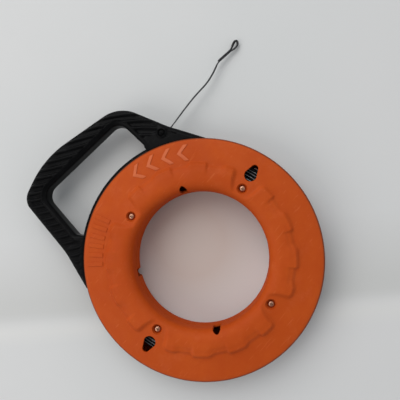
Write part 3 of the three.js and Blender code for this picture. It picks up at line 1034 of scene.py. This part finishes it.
def exit_box(low, high):
    x0, y0, z0 = low
    x1, y1, z1 = high
    rings = [[(x, y0, z0), (x, y1, z0), (x, y1, z1), (x, y0, z1)] for x in (x0, x1)]
    points, faces = body_of_sections(rings)
    return from_exit(points), faces


def make_handle():
    handle = mesh_piece("handle_moulding", *handle_body())
    boolean(handle, ring_body(), "UNION")
    for corners in (TAPE_PASSAGE, GUIDE_POCKET):
        boolean(handle, exit_box(*corners), "DIFFERENCE")
    boolean(handle, lathe(GUIDE_WELL, 48, GUIDE_SCREW), "DIFFERENCE")
    finish_mesh(handle, [BLACK], 35)
    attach(handle, "handle")
    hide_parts("handle")


make_handle()


# --- fasteners -----------------------------------------------------------------------

def pan_head(radius, height, seat):
    """The profile of a domed screw head, from its underside to its middle."""
    profile = [(radius - 0.25, seat), (radius, seat + 0.3), (radius, seat + 0.4 * height)]
    for a in np.radians(range(10, 90, 13)):
        profile.append((radius * math.cos(a) ** 0.9, seat + height * (0.4 + 0.6 * math.sin(a))))
    return profile


def cross_recess(wide, thin, low, high, centre, turn):
    bodies = []
    for angle in (turn, turn + 90):
        rings = []
        for z, grow in ((low, 0.55), (high, 1.0)):
            x, y = wide * grow, thin * grow
            square = np.array([(-x, -y), (x, -y), (x, y), (-x, y)])
            a = math.radians(angle)
            spun = square @ np.array([[math.cos(a), math.sin(a)], [-math.sin(a), math.cos(a)]])
            rings.append(np.column_stack([spun + np.array(centre), np.full(4, z)]))
        bodies.append(body_of_sections(rings))
    return bodies


def make_case_screws():
    for i in range(4):
        turn = DRUM_ANGLE + 90 * i
        angle = math.radians(turn)
        centre = (SCREW_CIRCLE * math.cos(angle), SCREW_CIRCLE * math.sin(angle))
        seat = HEAD_SEAT
        shank = [(1.6, SCREW_TIP), (2.0, SCREW_TIP + 0.5), (2.0, seat)]
        profile = shank + pan_head(HEAD_RADIUS, HEAD_HEIGHT, seat)
        screw = mesh_piece(f"pan_screw_{i + 1}", *lathe(profile, 40, centre))
        driven = 20 + 35 * i
        for bar in cross_recess(1.9, 0.5, seat + 1.0, seat + 2.9, centre, driven):
            boolean(screw, bar, "DIFFERENCE")
        finish_mesh(screw, [ZINC_PAINTED_REFLECTION], 35)
        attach(screw, "drum")
        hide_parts(f"case_screw_{i + 1}")

        hexagon = lathe([(NUT_RADIUS, NUT_LOW), (NUT_RADIUS, NUT_HIGH)], 6, centre, turn)
        nut = mesh_piece(f"hex_nut_{i + 1}", *hexagon)
        cone = lathe([(3.5, -22.1), (4.3, -21.4), (4.3, -19.4), (3.5, -18.7)], 40, centre)
        boolean(nut, cone, "INTERSECT")
        hole = lathe([(2.7, -23), (2.05, -21.6), (2.05, -19.2), (2.7, -18)], 32, centre)
        boolean(nut, hole, "DIFFERENCE")
        finish_mesh(nut, [ZINC_PAINTED_REFLECTION], 35)
        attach(nut, "drum")
        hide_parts(f"case_nut_{i + 1}")


make_case_screws()


def make_guide_screw():
    seat = GUIDE_SEAT
    shank = [(1.0, seat - 9), (1.3, seat - 8.5), (1.3, seat)]
    profile = shank + pan_head(GUIDE_HEAD_RADIUS, GUIDE_HEAD_HEIGHT, seat)
    screw = mesh_piece("guide_pan_screw", *lathe(profile, 36, GUIDE_SCREW))
    for bar in cross_recess(1.6, 0.42, seat + 0.7, seat + 2.2, GUIDE_SCREW, 30):
        boolean(screw, bar, "DIFFERENCE")
    finish_mesh(screw, [BLACK], 35)
    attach(screw, "handle")
    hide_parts("guide_screw")


def make_tape_guide():
    """The guide ends flush with the slanting edge of the handle."""
    guide = softened("tape_guide", 0.7, BLACK, "handle")
    outline = rounded(HANDLE_CORNERS)[0]
    rings = [np.column_stack([outline, np.full(len(outline), z)]) for z in (-30, 30)]
    boolean(guide, body_of_sections(rings), "INTERSECT")
    finish_mesh(guide, [BLACK], 35)


make_guide_screw()
make_tape_guide()
softened("tape_anchor", 0.3, ZINC_PAINTED_REFLECTION, "drum")
softened("anchor_screw", 0.25, ZINC_PAINTED_REFLECTION, "drum")
softened("tape_tail", 0.25, TAPE_STEEL, "drum")


# --- the coil ------------------------------------------------------------------------

COIL_INNER = 110.9
COIL_OUTER = 132.2
COIL_STEPS = 96  # in each turn
EDGE_AND_HIGHLIGHT_ABOVE = 5.1  # the upper edges of the top layer get a brighter steel: the bare slit edge, and a painted highlight where light catches the top turns


def coil_route():
    """The whole winding as one tape: two close layers, then a loose one on top."""
    layers = [  # first radius, last radius, turns, height
        (COIL_INNER, COIL_OUTER, 14, -4.3),
        (COIL_OUTER, COIL_INNER, 14, -0.9),
        (COIL_INNER + 1.5, COIL_OUTER - 0.5, 5, 3.6),
    ]
    route, heights = [], []
    turns_done = 0.0
    for first, last, turns, height in layers:
        count = int(turns * COIL_STEPS)
        for k in range(count):
            share = k / count
            angle = 2 * math.pi * (turns_done + turns * share)
            wander = 0.35 * math.sin(2.3 * angle) if height > 0 else 0.0
            radius = first + (last - first) * share + wander
            route.append((radius * math.cos(angle), radius * math.sin(angle)))
            rise = step(0, 0.02, share) if heights else 1.0
            below = heights[-1] if heights and rise < 1 else height
            heights.append(below + (height - below) * float(rise))
        turns_done += turns
    return np.array(route), np.array(heights)


def make_coil():
    route, heights = coil_route()
    along = np.gradient(route, axis=0)
    along /= np.linalg.norm(along, axis=1)[:, None]
    across = np.column_stack([-along[:, 1], along[:, 0]])
    half, tall, cut = TAPE_THICK / 2 - 0.02, TAPE_WIDE / 2, 0.3
    section = [(-half, -tall), (half, -tall), (half, tall - cut), (half - cut, tall),
               (cut - half, tall), (-half, tall - cut)]
    rings = [
        [(*(point + side * s), height + up) for s, up in section]
        for point, side, height in zip(route, across, heights)
    ]
    points, faces = body_of_sections(rings)
    coil = mesh_piece("wound_tape", turn_z(points, DRUM_ANGLE), faces, "drum",
                      [TAPE_STEEL, EDGE_AND_HIGHLIGHT_STEEL], 50)
    # The bare slit edge and a painted highlight, on the upper edges of the top layer only.
    for face in coil.data.polygons:
        if (face.center.z - AXIS.z) * 1000 > EDGE_AND_HIGHLIGHT_ABOVE:
            face.material_index = 1
    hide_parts("tape_coil")


make_coil()


# --- floor and light -----------------------------------------------------------------

FLOOR_HALF = 9000
ROOM_UP = (-0.331, -0.262, 0.906)  # towards the darker middle of the room's ceiling
ROOM_FADE = {"From Min": 0.60, "From Max": 0.88, "To Min": 0.80, "To Max": 0.28}


def make_floor():
    size, depth = FLOOR_HALF, -HALF_HEIGHT
    corners = [(-size, -size), (size, -size), (size, size), (-size, size)]
    points = [(x, y, depth) for x, y in corners]
    floor = mesh_piece("floor", points, [(0, 1, 2, 3)], looks=[pale_floor()])


def make_light(name, place, aim, size, power, colour):
    data = bpy.data.lights.new(name, "AREA")
    data.shape = "DISK"
    data.size = size
    data.energy = power
    data.color = colour
    light = bpy.data.objects.new(name, data)
    place, aim = Vector(place), Vector(aim)
    turn = (aim - place).to_track_quat("-Z", "Y").to_matrix().to_4x4()
    light.matrix_world = Matrix.Translation(place) @ turn
    bpy.context.scene.collection.objects.link(light)


def make_surroundings():
    scene = bpy.context.scene
    scene.view_settings.view_transform = "Standard"
    world = bpy.data.worlds.new("room")
    world.use_nodes = True
    nodes, links = world.node_tree.nodes, world.node_tree.links
    height = nodes.new("ShaderNodeVectorMath")
    height.operation = "DOT_PRODUCT"
    height.inputs[1].default_value = ROOM_UP
    links.new(nodes.new("ShaderNodeTexCoord").outputs["Generated"], height.inputs[0])
    ceiling = nodes.new("ShaderNodeMapRange")
    ceiling.interpolation_type = "SMOOTHSTEP"
    for name, value in ROOM_FADE.items():
        ceiling.inputs[name].default_value = value
    links.new(height.outputs["Value"], ceiling.inputs["Value"])
    background = nodes["Background"]
    background.inputs["Color"].default_value = (0.94, 0.965, 1.0, 1)
    links.new(ceiling.outputs["Result"], background.inputs["Strength"])
    scene.world = world
    make_light("window", (0.6, 1.48, 1.9), (0, 0, 0), 2.3, 28, (1.0, 0.99, 0.97))
    make_light("fill", (-1.4, 0.4, 1.4), (-0.1, 0, 0), 1.4, 9, (1.0, 0.955, 0.925))


make_floor()
make_surroundings()
